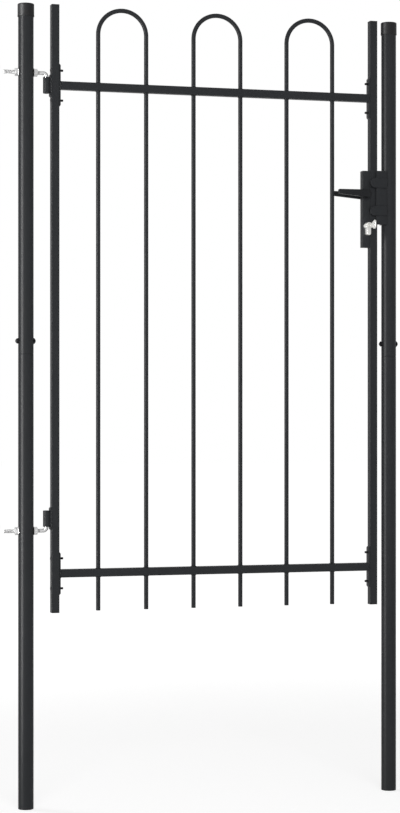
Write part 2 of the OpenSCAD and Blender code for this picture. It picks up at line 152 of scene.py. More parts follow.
def pivot(joint: str) -> Vector:
    """The point that a joint turns about, in metres."""
    found = next(j for j in frame["joints"] if j["name"] == joint)
    return Vector(found["pos_m"])


def shift(x: float = 0.0, y: float = 0.0, z: float = 0.0) -> Matrix:
    """A move without a turn."""
    return Matrix.Translation((x, y, z))


def turn(degrees: float, axis: str) -> Matrix:
    """A turn about one of the main axes."""
    return Matrix.Rotation(math.radians(degrees), 4, axis)


# Turns that lay a shape made along +Z onto another axis.
TO_RIGHT = turn(90, "Y")
TO_LEFT = turn(-90, "Y")
TO_FRONT = turn(90, "X")
TO_BACK = turn(-90, "X")


# ---- Shader graphs ----


class Signal:
    """A shader socket whose arithmetic adds Math nodes."""

    def __init__(self, graph: "Graph", socket: bpy.types.NodeSocket) -> None:
        """Wraps a socket of a graph."""
        self.graph = graph
        self.socket = socket

    def _math(self, operation: str, first: "Signal | float", second: "Signal | float") -> "Signal":
        """Adds a Math node of two values."""
        return self.graph.node("ShaderNodeMath", {"operation": operation}, {0: first, 1: second})

    def __add__(self, other: "Signal | float") -> "Signal":
        """Sum."""
        return self._math("ADD", self, other)

    __radd__ = __add__

    def __sub__(self, other: "Signal | float") -> "Signal":
        """Difference."""
        return self._math("SUBTRACT", self, other)

    def __mul__(self, other: "Signal | float") -> "Signal":
        """Product."""
        return self._math("MULTIPLY", self, other)

    def above(self, level: float, softness: float) -> "Signal":
        """A mask that rises from 0 to 1 as the signal passes a level.

        Args:
            level: The signal's value at the middle of the rise.
            softness: The width of the rise.

        Returns:
            The mask.
        """
        values = {"Value": self, "From Min": level - softness / 2, "From Max": level + softness / 2}
        return self.graph.node(
            "ShaderNodeMapRange", {"interpolation_type": "SMOOTHSTEP"}, values
        )


Colour = tuple[float, float, float, float] | Signal
Sockets = dict[str | int, object]

# Sockets of a Mix node that is set to colours.
MIX_SHARE, MIX_FIRST, MIX_SECOND, MIX_RESULT = 0, 6, 7, 2


class Graph:
    """A node tree that is filled node by node."""

    def __init__(self, tree: bpy.types.NodeTree) -> None:
        """Starts from an empty tree."""
        self.tree = tree
        self.tree.nodes.clear()

    def node(
        self,
        kind: str,
        settings: dict[str, object] | None = None,
        values: Sockets | None = None,
        output: str | int = 0,
    ) -> Signal:
        """Adds a node.

        Args:
            kind: The node's type.
            settings: Properties of the node, set before its sockets.
            values: Numbers, colours or signals for its sockets.
            output: The socket that is returned.

        Returns:
            That output, or the input of a node that ends a graph.
        """
        node = self.tree.nodes.new(kind)
        for name, value in (settings or {}).items():
            setattr(node, name, value)
        for name, value in (values or {}).items():
            if isinstance(value, Signal):
                self.tree.links.new(value.socket, node.inputs[name])
            else:
                node.inputs[name].default_value = value
        sockets = node.outputs or node.inputs
        return Signal(self, sockets[output])

    def place(self, stretch: Sequence[float] = (1, 1, 1)) -> Signal:
        """Object coordinates, stretched along each axis."""
        spot = self.node("ShaderNodeTexCoord", output="Object")
        return self.node("ShaderNodeMapping", values={"Vector": spot, "Scale": tuple(stretch)})

    def noise(self, spot: Signal, grain: float, detail: float = 2.0, rough: float = 0.5) -> Signal:
        """Noise of about 0 to 1, with the size of its grain in metres."""
        values = {"Vector": spot, "Scale": 1 / grain, "Detail": detail, "Roughness": rough}
        return self.node("ShaderNodeTexNoise", values=values)

    def blend(self, share: Signal | float, first: Colour, second: Colour) -> Signal:
        """Mixes two colours.

        Args:
            share: The share of the second.
            first: The first colour.
            second: The second colour.

        Returns:
            The mixed colour.
        """
        values = {MIX_SHARE: share, MIX_FIRST: first, MIX_SECOND: second}
        settings = {"data_type": "RGBA", "clamp_factor": True}
        return self.node("ShaderNodeMix", settings, values, MIX_RESULT)

    def bump(
        self, height: Signal, depth: float, strength: float = 1.0, under: Signal | None = None
    ) -> Signal:
        """Turns a height from 0 to 1 into a bumped normal.

        Args:
            height: The height.
            depth: The height of 1, in metres.
            strength: The share of the effect.
            under: The normal that it adds to.

        Returns:
            The normal.
        """
        values: Sockets = {"Height": height, "Distance": depth, "Strength": strength}
        if under is not None:
            values["Normal"] = under
        return self.node("ShaderNodeBump", values=values)


def tint(colour: Sequence[float], factor: float = 1.0) -> tuple[float, float, float, float]:
    """A colour made lighter or darker, with full alpha."""
    return (colour[0] * factor, colour[1] * factor, colour[2] * factor, 1.0)


@dataclass(frozen=True)
class Finish:
    """A finish: a named material and the record slot that it stands for."""

    name: str
    slot: Slot
    colour: tuple[float, float, float]
    roughness: float

    def material(self) -> bpy.types.Material:
        """Makes the material, or finds it where it is made already.

        Returns:
            The material.
        """
        known = bpy.data.materials.get(self.name)
        if known is not None:
            return known
        material = bpy.data.materials.new(self.name)
        material.use_nodes = True
        graph = Graph(material.node_tree)
        shader = graph.node("ShaderNodeBsdfPrincipled", values=self.surface(graph))
        graph.node("ShaderNodeOutputMaterial", values={"Surface": shader})
        return material

    def surface(self, graph: Graph) -> Sockets:
        """Values for the shader's sockets."""
        raise NotImplementedError


@dataclass(frozen=True)
class PowderCoat(Finish):
    """Satin powder coat: even colour, orange peel and a fine grain."""

    gloss: float = 0.06
    peel: float = 2.6 * MM
    peel_depth: float = 0.018 * MM
    grain: float = 0.35 * MM
    grain_depth: float = 0.0015 * MM
    grain_dulls: float = 0.06
    cloud: float = 90 * MM
    cloud_shades: tuple[float, float] = (0.9, 1.1)
    cloud_dulls: float = 0.04
    # Streaks along Z: a painted sheen that lightens the colour, and a polish that lowers the
    # roughness.
    polish_and_sheen: float = 14 * MM
    polish_and_sheen_stretch: tuple[float, float, float] = (1, 1, 0.25)
    polish_and_sheen_above: tuple[float, float] = (0.66, 0.12)
    painted_sheen_shade: float = 1.4
    polish_and_sheen_rough: float = 0.65
    painted_sheen_share: float = 0.15
    streak_polish: float = 0.05

    def surface(self, graph: Graph) -> Sockets:
        """Cloudy tone, streaks painted lighter as a sheen and given a polish, peel and grain in the
        relief.

        Args:
            graph: The material's graph.

        Returns:
            Values for the shader's sockets.
        """
        spot = graph.place()
        cloud = graph.noise(spot, self.cloud, 3)
        peel = graph.noise(spot, self.peel, 1)
        grain = graph.noise(spot, self.grain, 2)
        polish_and_sheen_streaks = graph.noise(graph.place(self.polish_and_sheen_stretch), self.polish_and_sheen, 4, self.polish_and_sheen_rough)
        polish_and_sheen = polish_and_sheen_streaks.above(*self.polish_and_sheen_above)
        dark, light = (tint(self.colour, shade) for shade in self.cloud_shades)
        base = graph.blend(cloud, dark, light)
        dulled = self.roughness + grain * self.grain_dulls + cloud * self.cloud_dulls
        relief = graph.bump(peel, self.peel_depth)
        # A lighter copy of the colour, painted into the streaks as a sheen that stands in for a
        # highlight.
        painted_sheen = tint(self.colour, self.painted_sheen_shade)
        return {
            "Base Color": graph.blend(polish_and_sheen * self.painted_sheen_share, base, painted_sheen),
            "Roughness": dulled - polish_and_sheen * self.streak_polish,
            "Specular IOR Level": self.gloss,
            "Normal": graph.bump(grain, self.grain_depth, under=relief),
        }


@dataclass(frozen=True)
class Moulding(Finish):
    """Moulded plastic with a fine spark-eroded grain."""

    gloss: float = 0.15
    grain: float = 0.4 * MM
    grain_depth: float = 0.012 * MM
    flow: float = 9 * MM
    flow_stretch: tuple[float, float, float] = (1, 1, 0.3)
    flow_shades: tuple[float, float] = (0.85, 1.2)
    flow_dulls: float = 0.08

    def surface(self, graph: Graph) -> Sockets:
        """Grain in the relief, and flow marks in the gloss.

        Args:
            graph: The material's graph.

        Returns:
            Values for the shader's sockets.
        """
        grain = graph.noise(graph.place(), self.grain, 2)
        flow = graph.noise(graph.place(self.flow_stretch), self.flow, 3)
        dark, light = (tint(self.colour, shade) for shade in self.flow_shades)
        return {
            "Base Color": graph.blend(flow, dark, light),
            "Roughness": self.roughness + flow * self.flow_dulls,
            "Specular IOR Level": self.gloss,
            "Normal": graph.bump(grain, self.grain_depth),
        }


@dataclass(frozen=True)
class Plating(Finish):
    """Plated metal: a mottled bright coat with drawn lines along one axis."""

    warm: tuple[float, float, float]
    draw: tuple[float, float, float]
    spangle: float = 2.2 * MM
    spangle_rough: float = 0.6
    spangle_dulls: float = 0.1
    line: float = 0.5 * MM
    line_depth: float = 0.006 * MM
    line_strength: float = 0.8
    line_dulls: float = 0.08
    pit: float = 0.8 * MM
    pit_above: tuple[float, float] = (0.72, 0.1)
    pit_depth: float = 0.01 * MM
    pit_shade: float = 0.6
    pit_share: float = 0.4

    def surface(self, graph: Graph) -> Sockets:
        """Mottle in the colour, drawn lines and pits in the relief.

        Args:
            graph: The material's graph.

        Returns:
            Values for the shader's sockets.
        """
        mottle = graph.noise(graph.place(), self.spangle, 3, self.spangle_rough)
        lines = graph.noise(graph.place(self.draw), self.line, 2)
        pits = graph.noise(graph.place(), self.pit, 1).above(*self.pit_above)
        colour = graph.blend(mottle, tint(self.colour), tint(self.warm))
        relief = graph.bump(pits, -self.pit_depth)
        return {
            "Base Color": graph.blend(
                pits * self.pit_share, colour, tint(self.colour, self.pit_shade)
            ),
            "Metallic": 1.0,
            "Roughness": self.roughness + mottle * self.spangle_dulls + lines * self.line_dulls,
            "Normal": graph.bump(lines, self.line_depth, self.line_strength, relief),
        }


COAT = (0.035, 0.037, 0.040)
WELD = (0.026, 0.027, 0.029)
POST_COAT = PowderCoat("post powder coat", Slot.POST_COAT, COAT, 0.36)
LEAF_COAT = PowderCoat("leaf powder coat", Slot.LEAF_COAT, COAT, 0.38)
WELD_COAT = PowderCoat("coated weld", Slot.LEAF_COAT, WELD, 0.36, peel=1.2 * MM)
POST_WELD_COAT = PowderCoat("coated post weld", Slot.POST_COAT, WELD, 0.36, peel=1.2 * MM)
LEVER_COAT = PowderCoat(
    "lever coat", Slot.LEVER_COAT, (0.024, 0.025, 0.027), 0.32, peel=1.6 * MM
)
BOLT_BLACK = PowderCoat(
    "black bolt coat", Slot.BLACK_BOLTS, (0.020, 0.020, 0.022), 0.42, peel=0.9 * MM
)
PLASTIC = Moulding("moulded black plastic", Slot.BLACK_PLASTIC, (0.018, 0.018, 0.019), 0.46)
ZINC = Plating(
    "bright zinc plate", Slot.ZINC, (0.60, 0.61, 0.64), 0.28,
    warm=(0.52, 0.51, 0.48), draw=(0.05, 1, 1),
)
NICKEL = Plating(
    "satin nickel plate", Slot.NICKEL, (0.66, 0.66, 0.65), 0.22,
    warm=(0.58, 0.57, 0.54), draw=(1, 1, 0.06),
)


# ---- Shapes ----


Outline = list[tuple[float, float]]


@dataclass(frozen=True)
class Straight:
    """A straight length of a rod."""

    length: float


@dataclass(frozen=True)
class Bend:
    """A bend of a rod towards its side."""

    radius: float
    degrees: float
    steps: int


def arc(x: float, y: float, radius: float, start: float, end: float, steps: int) -> Outline:
    """Points along an arc round a centre, its start and end given in degrees."""
    angles = [math.radians(start + (end - start) * i / steps) for i in range(steps + 1)]
    return [(x + radius * math.cos(a), y + radius * math.sin(a)) for a in angles]


def corners(faces: Iterable[bmesh.types.BMFace]) -> list[bmesh.types.BMVert]:
    """The vertices of some faces, each once."""
    return list({vert for face in faces for vert in face.verts})


class Form:
    """A mesh in the making: bmesh operators under the names of workshop jobs."""

    def __init__(self) -> None:
        """Starts with nothing."""
        self.bm = bmesh.new()

    @classmethod
    def of_node(cls, node: str) -> "Form":
        """A copy of a CAD node with its loose triangles joined.

        Args:
            node: The CAD node's name.

        Returns:
            The joined copy.
        """
        form = cls()
        form.bm.from_mesh(frame["nodes"][node].data)
        bmesh.ops.remove_doubles(form.bm, verts=form.bm.verts[:], dist=MERGE_WITHIN)
        bmesh.ops.dissolve_limit(
            form.bm, angle_limit=FLAT_WITHIN, verts=form.bm.verts[:], edges=form.bm.edges[:]
        )
        return form

    @classmethod
    def lathe(cls, profile: Outline, steps: int = 64, ring: bool = False) -> "Form":
        """Turns an outline about Z.

        Args:
            profile: Radius and height of each point.
            steps: How many steps make a full turn.
            ring: Whether the outline closes on itself, clear of the axis.

        Returns:
            The turned shape.
        """
        form = cls()
        verts = [form.bm.verts.new((radius, 0.0, height)) for radius, height in profile]
        pairs = list(zip(verts, verts[1:])) + ([(verts[-1], verts[0])] if ring else [])
        edges = [form.bm.edges.new(pair) for pair in pairs]
        bmesh.ops.spin(
            form.bm, geom=verts + edges, axis=UP, cent=ORIGIN, angle=FULL_TURN, steps=steps,
            use_merge=True,
        )
        bmesh.ops.remove_doubles(form.bm, verts=form.bm.verts[:], dist=MERGE_WITHIN)
        return form

    @classmethod
    def tube(cls, outer: float, inner: float, length: float, edge: float) -> "Form":
        """A round tube or washer with chamfered rims, standing on the XY plane.

        Args:
            outer: Its outer radius.
            inner: The radius of its bore.
            length: Its length.
            edge: The width of the chamfers.

        Returns:
            The tube.
        """
        wall = [(inner, edge), (inner + edge, 0), (outer - edge, 0), (outer, edge)]
        upper = [(radius, length - height) for radius, height in reversed(wall)]
        return cls.lathe([*wall, *upper], ring=True)

    @classmethod
    def block(cls, size: Sequence[float], edge: float, segments: int) -> "Form":
        """A box about the origin with rounded edges.

        Args:
            size: Its length along each axis.
            edge: The width of the rounding.
            segments: How many faces make the rounding.

        Returns:
            The box.
        """
        form = cls()
        bmesh.ops.create_cube(form.bm, size=1, matrix=Matrix.Diagonal((*size, 1)))
        return form.soften(edge, segments)

    @classmethod
    def plate(cls, outline: Outline, depth: float) -> "Form":
        """A flat outline in the XY plane, raised by a depth along Z.

        Args:
            outline: The outline's points.
            depth: How far it is raised.

        Returns:
            The plate, with sharp edges.
        """
        form = cls()
        face = form.bm.faces.new([form.bm.verts.new((x, y, 0.0)) for x, y in outline])
        bmesh.ops.translate(form.bm, verts=corners(form.lift([face])), vec=(0, 0, depth))
        return form

    @classmethod
    def flange(cls, height: float, width: float, thick: float, bevel: float) -> "Form":
        """A plate against a tube, its ends bevelled towards its free face.

        Args:
            height: Its height along Y, where it meets the tube.
            width: Its width along Z.
            thick: Where its free face lies along X.
            bevel: How much lower the free face is at either end.

        Returns:
            The plate.
        """
        half = height / 2
        outline = [(0, -half), (0, half), (thick, half - bevel), (thick, bevel - half)]
        return cls.plate(outline, width).soften(PLATE_EDGE)

    @classmethod
    def rod(cls, radius: float, moves: Iterable[Straight | Bend], sides: int = 32) -> "Form":
        """Sweeps a disc from the origin along +Z, with bends towards +X.

        Args:
            radius: The rod's radius.
            moves: Its straight lengths and bends, in order.
            sides: The sides of its section.

        Returns:
            The rod, with closed ends.
        """
        form = cls()
        bmesh.ops.create_circle(form.bm, cap_ends=True, segments=sides, radius=radius)
        tip = form.bm.faces[:]
        spot, heading, side = Vector(), Vector((0, 0, 1)), Vector((1, 0, 0))
        for move in moves:
            if isinstance(move, Straight):
                tip = form.lift(tip)
                step = heading * move.length
                bmesh.ops.translate(form.bm, verts=corners(tip), vec=step)
                spot = spot + step
                continue
            centre = spot + side * move.radius
            axis = heading.cross(side)
            angle = math.radians(move.degrees)
            edges = {edge for face in tip for edge in face.edges}
            swept = bmesh.ops.spin(
                form.bm, geom=[*tip, *edges, *corners(tip)], cent=centre, axis=axis, angle=angle,
                steps=move.steps, use_duplicate=False,
            )["geom_last"]
            tip = [item for item in swept if isinstance(item, bmesh.types.BMFace)]
            swing = Matrix.Rotation(angle, 3, axis)
            spot = centre + swing @ (spot - centre)
            heading, side = swing @ heading, swing @ side
        return form

    @classmethod
    def thread(cls, radius: float, pitch: float, length: float, steps: int = 28) -> "Form":
        """A screw thread from the origin along +Z, cut square below and chamfered on top.

        Args:
            radius: The radius over the crests.
            pitch: The rise of a turn.
            length: The thread's length.
            steps: Steps in a turn.

        Returns:
            The thread, with closed ends.
        """
        form = cls()
        root = radius - THREAD_DEPTH * pitch
        ridge = [(root, share) for share in THREAD_ROOT]
        ridge += [(radius, share) for share in THREAD_CREST]
        verts = [
            form.bm.verts.new((reach, 0.0, (number + share) * pitch))
            for number in range(-2, math.ceil(length / pitch) + 2)
            for reach, share in ridge
        ]
        edges = [form.bm.edges.new(pair) for pair in zip(verts, verts[1:])]
        bmesh.ops.spin(
            form.bm, geom=verts + edges, axis=UP, cent=ORIGIN, angle=FULL_TURN, steps=steps,
            dvec=(0, 0, pitch / steps),
        )
        bmesh.ops.remove_doubles(form.bm, verts=form.bm.verts[:], dist=MERGE_WITHIN)
        form.cut(ORIGIN, (0, 0, -1)).cut((0, 0, length), UP)
        lead = radius - root + THREAD_RUN_IN * pitch
        for vert in form.bm.verts:
            reach = math.hypot(vert.co.x, vert.co.y)
            limit = radius - max(0.0, vert.co.z - (length - lead))
            share = min(1.0, limit / reach) if reach > 0 else 1.0
            vert.co = (vert.co.x * share, vert.co.y * share, vert.co.z)
        return form

    @classmethod
    def dome(cls, radius: float, height: float, foot: float = 0.0) -> "Form":
        """A shallow dome on a short straight foot, standing on the XY plane.

        Args:
            radius: Its radius.
            height: Its height over all.
            foot: The height of its straight foot.

        Returns:
            The dome.
        """
        rise = height - foot
        ball = (radius ** 2 + rise ** 2) / (2 * rise)
        spread = math.degrees(math.asin(radius / ball))
        crown = arc(0, height - ball, ball, 90 - spread, 90, 8)
        return cls.lathe([(0, 0), (radius, 0), *crown[:-1], (0, height)], steps=40)

    @classmethod
    def hex_nut(cls, flats: float, height: float, bore: float) -> "Form":
        """A hexagon nut with chamfered corners and a countersunk face on top.

        Args:
            flats: The width across flats.
            height: The nut's height.
            bore: The radius of its hole, which its bolt fills.

        Returns:
            The nut, standing on the XY plane.
        """
        form = cls()
        half = flats / 2
        face_r = NUT_FACE * half
        corner = half / math.cos(math.pi / 6)
        bmesh.ops.create_circle(form.bm, cap_ends=True, segments=6, radius=corner)
        bmesh.ops.subdivide_edges(form.bm, edges=form.bm.edges[:], cuts=7)
        top = form.lift(form.bm.faces[:])
        for vert in corners(top):
            drop = max(0.0, vert.co.xy.length - face_r) * NUT_SLOPE
            vert.co.z = height - drop
        for radius, level in (
            (face_r, height), (bore + NUT_SINK * half, height), (bore, height * NUT_SUNK)
        ):
            top = form.lift(top)
            for vert in corners(top):
                share = radius / vert.co.xy.length
                vert.co = (vert.co.x * share, vert.co.y * share, level)
        return form

    @classmethod
    def bead(cls, length: float, radius: float) -> "Form":
        """A straight weld bead along +Z, rippled like a row of coins.

        Args:
            length: The bead's length.
            radius: Its radius.

        Returns:
            The bead.
        """
        ripples = max(4, round(length / (BEAD_RIPPLE * radius)))
        count = 4 * ripples
        profile = [(0.0, 0.0)]
        for number in range(1, count):
            share = number / count
            swell = 1 - BEAD_DEPTH + BEAD_DEPTH * abs(math.cos(math.pi * share * ripples))
            taper = min(1.0, BEAD_END + min(share, 1 - share) * length / radius)
            profile.append((radius * swell * taper, length * share))
        return cls.lathe([*profile, (0.0, length)], steps=12)

    @classmethod
    def ring_bead(cls, ring: float, radius: float) -> "Form":
        """A rippled weld bead round a bar, in the XY plane.

        Args:
            ring: The radius of the bead's middle line.
            radius: The bead's own radius.

        Returns:
            The bead.
        """
        form = cls.lathe(arc(ring, 0, radius, 0, 330, 11), steps=48, ring=True)
        for vert in form.bm.verts:
            around = math.atan2(vert.co.y, vert.co.x)
            middle = Vector((math.cos(around), math.sin(around), 0)) * ring
            width = RING_LEAST + RING_SWELL * abs(math.cos(RING_RIPPLES * around))
            vert.co = middle + (vert.co - middle) * width
        return form

    def lift(self, faces: list[bmesh.types.BMFace]) -> list[bmesh.types.BMFace]:
        """Extrudes faces in place, with their edges, so that no face stays inside.

        Args:
            faces: The faces that are lifted.

        Returns:
            The lifted faces.
        """
        edges = {edge for face in faces for edge in face.edges}
        lifted = bmesh.ops.extrude_face_region(self.bm, geom=[*faces, *edges])["geom"]
        return [item for item in lifted if isinstance(item, bmesh.types.BMFace)]

    def cut(self, spot: Sequence[float], normal: Sequence[float]) -> "Form":
        """Cuts off what lies on the normal's side of a plane, and closes the cut.

        Args:
            spot: A point of the plane.
            normal: The plane's normal.

        Returns:
            This form.
        """
        geom = self.bm.verts[:] + self.bm.edges[:] + self.bm.faces[:]
        cut = bmesh.ops.bisect_plane(
            self.bm, geom=geom, plane_co=spot, plane_no=normal, clear_outer=True
        )["geom_cut"]
        rim = [item for item in cut if isinstance(item, bmesh.types.BMEdge)]
        bmesh.ops.edgeloop_fill(self.bm, edges=rim)
        return self

    def soften(self, width: float, segments: int = 2, above: float = SHARP_ABOVE) -> "Form":
        """Rounds the edges whose faces meet at more than an angle.

        Args:
            width: The width of the rounding.
            segments: How many faces make it.
            above: The angle, in radians.

        Returns:
            This form.
        """
        sharp = [
            edge for edge in self.bm.edges
            if len(edge.link_faces) == 2 and edge.calc_face_angle(0) > above
        ]
        bmesh.ops.bevel(
            self.bm, geom=sharp, offset=width, offset_type="OFFSET", affect="EDGES",
            segments=segments, profile=0.5, clamp_overlap=True, material=-1,
        )
        return self

    def add(self, part: "Form", *places: Matrix) -> "Form":
        """Adds copies of another form.

        Args:
            part: The form that is copied.
            places: Where each copy goes.

        Returns:
            This form.
        """
        mesh = bpy.data.meshes.new("part")
        for place in places or (Matrix(),):
            part.bm.to_mesh(mesh)
            mesh.transform(place)
            self.bm.from_mesh(mesh)
        bpy.data.meshes.remove(mesh)
        return self

    def piece(self, name: str, body: Body, finish: Finish, *stands_for: str) -> bpy.types.Object:
        """Makes the form an object that rides on a body.

        Args:
            name: The piece's name.
            body: The body that it moves with.
            finish: Its finish.
            stands_for: The CAD nodes that it replaces.

        Returns:
            The object.
        """
        bmesh.ops.recalc_face_normals(self.bm, faces=self.bm.faces[:])
        for face in self.bm.faces:
            face.smooth = True
        mesh = bpy.data.meshes.new(name)
        self.bm.to_mesh(mesh)
        self.bm.free()
        mesh.set_sharp_from_angle(angle=SMOOTH_BELOW)
        mesh.materials.append(finish.material())
        piece = new_object(name, mesh)
        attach(piece, body.value)
        if stands_for:
            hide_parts(*stands_for)
        LOG.info("%s: %d faces on %s, finish %s", name, len(mesh.polygons), body.value, finish.name)
        return piece


def new_object(name: str, data: bpy.types.ID) -> bpy.types.Object:
    """Makes an object of a mesh, a lamp or a camera, and puts it in the scene.

    Args:
        name: The object's name.
        data: Its mesh, lamp or camera.

    Returns:
        The object.
    """
    made = bpy.data.objects.new(name, data)
    bpy.context.scene.collection.objects.link(made)
    return made


def dress(node: str, finish: Finish) -> None:
    """Gives a CAD node that stays its finish.

    Args:
        node: The CAD node's name.
        finish: The finish.
    """
    mesh = frame["nodes"][node].data
    mesh.materials.clear()
    mesh.materials.append(finish.material())
    LOG.info("%s: CAD node, finish %s", node, finish.name)


# ---- Sub-assemblies ----


@dataclass(frozen=True)
class Post:
    """A two-part round post with its cap and joint bolt."""

    name: str
    steps: int = 96
    wall: float = 1.5 * MM
    foot: float = 3 * MM
    roll: float = 0.7 * MM
    neck_play: float = 0.25 * MM
    neck_root: float = 15 * MM
    cap_wall: float = 1.5 * MM
    cap_solid: float = 4.5 * MM
    cap_lip: float = 0.5 * MM
    cap_band: float = 3 * MM
    cap_draft: float = 0.3 * MM
    cap_round: float = 3 * MM
    cap_crown: float = 1.5 * MM
    gate_r: float = 1.6 * MM
    gate_depth: float = 0.4 * MM
    head_foot: float = 0.8 * MM
    shank_r: float = 4 * MM
    shank_past: float = 3 * MM
    hexagon: float = 4 * MM
    nut_bore: float = 0.3
    nut_crown: float = 0.45
    sunk: float = 0.5 * MM

    def build(self) -> None:
        """Makes the tubes, the cap, and the bolt with its nut."""
        self.tubes()
        self.cap()
        self.joint_bolt()

    def tubes(self) -> None:
        """Turns the lower tube with its neck, and the upper tube that sits on it."""
        lower, upper = Box.of(f"{self.name}_lower"), Box.of(f"{self.name}_upper")
        outer = lower.size.x / 2
        inner = outer - self.wall
        seam, top = upper.low.z, upper.high.z
        neck = inner - self.neck_play
        neck_in = neck - self.wall
        shoulder = seam - self.neck_root
        profile = [
            (0, 0), (outer - self.roll, 0), (outer, self.roll),
            *self.rings(outer, self.roll, seam - self.roll),
            (outer, seam - self.roll), (outer - self.roll, seam), (neck, seam),
            (neck, lower.high.z), (neck_in, lower.high.z), (neck_in, shoulder),
            (inner, shoulder), (inner, self.foot), (0, self.foot),
        ]
        ring = [
            (inner, seam), (outer - self.roll, seam), (outer, seam + self.roll),
            *self.rings(outer, seam + self.roll, top), (outer, top), (inner, top),
        ]
        for end, form in (
            ("lower", Form.lathe(profile, self.steps)),
            ("upper", Form.lathe(ring, self.steps, ring=True)),
        ):
            Form().add(form, shift(lower.middle.x)).piece(
                f"{self.name}_{end}_tube", Body.POSTS, POST_COAT, f"{self.name}_{end}"
            )

    @staticmethod
    def rings(radius: float, low: float, high: float, count: int = 6) -> Outline:
        """Even rings on a straight wall, which keep its quads from growing too long."""
        return [(radius, low + (high - low) * number / count) for number in range(1, count)]

    def cap(self) -> None:
        """Turns the moulded cap: a lip, a drafted skirt, a round shoulder and a low crown."""
        box = Box.of(f"{self.name}_cap")
        top, radius = box.size.z, box.size.x / 2
        inner, under = radius - self.cap_wall, top - self.cap_solid
        crown, bend = top - self.cap_crown, self.cap_round
        profile = [
            (0, under), (inner, under), (inner, 0), (radius - self.cap_lip, 0),
            (radius, self.cap_lip), (radius, self.cap_band),
            (radius - 0.25 * MM, self.cap_band + self.cap_draft),
            (radius - self.cap_draft, crown - bend - 1 * MM),
            *arc(radius - bend - 0.2 * MM, crown - bend, bend, 0, 84, 8),
            (radius * 0.55, crown + 0.9 * MM), (radius * 0.25, top - 0.1 * MM),
            (self.gate_r + 0.3 * MM, top - 0.02 * MM), (self.gate_r, top - self.gate_depth),
            (0, top - self.gate_depth),
        ]
        form = Form().add(Form.lathe(profile, self.steps), shift(box.middle.x, 0, box.low.z))
        form.piece(f"{self.name}_cap_moulding", Body.POSTS, PLASTIC, f"{self.name}_cap")

    def joint_bolt(self) -> None:
        """Makes the round-headed bolt and its cap nut."""
        bolt, nut = Box.of(f"{self.name}_bolt"), Box.of(f"{self.name}_nut")
        tube = Box.of(f"{self.name}_lower")
        height = bolt.middle.z
        seat = shift(tube.high.x, 0, height)
        head = Form.dome(bolt.size.y / 2, bolt.high.x - tube.high.x, self.head_foot)
        form = Form().add(head, seat @ TO_RIGHT)
        form.add(Form.lathe(self.shank(tube.size.x), steps=24), seat @ TO_LEFT)
        form.piece(f"{self.name}_round_head_bolt", Body.POSTS, BOLT_BLACK, f"{self.name}_bolt")
        flats = nut.size.y
        hexagon = Form.hex_nut(flats, self.hexagon, self.nut_bore * flats)
        crown = Form.dome(self.nut_crown * flats, nut.size.x - self.hexagon + self.sunk)
        face = nut.high.x - self.hexagon + self.sunk
        form = Form().add(hexagon, shift(nut.high.x, 0, height) @ TO_LEFT)
        form.add(crown, shift(face, 0, height) @ TO_LEFT)
        form.piece(f"{self.name}_cap_nut", Body.POSTS, BOLT_BLACK, f"{self.name}_nut")

    def shank(self, width: float) -> Outline:
        """Outline of the bolt's shank through a post of a width."""
        start, end = -self.sunk, width + self.shank_past
        return [(0, start), (self.shank_r, start), (self.shank_r, end), (0, end)]


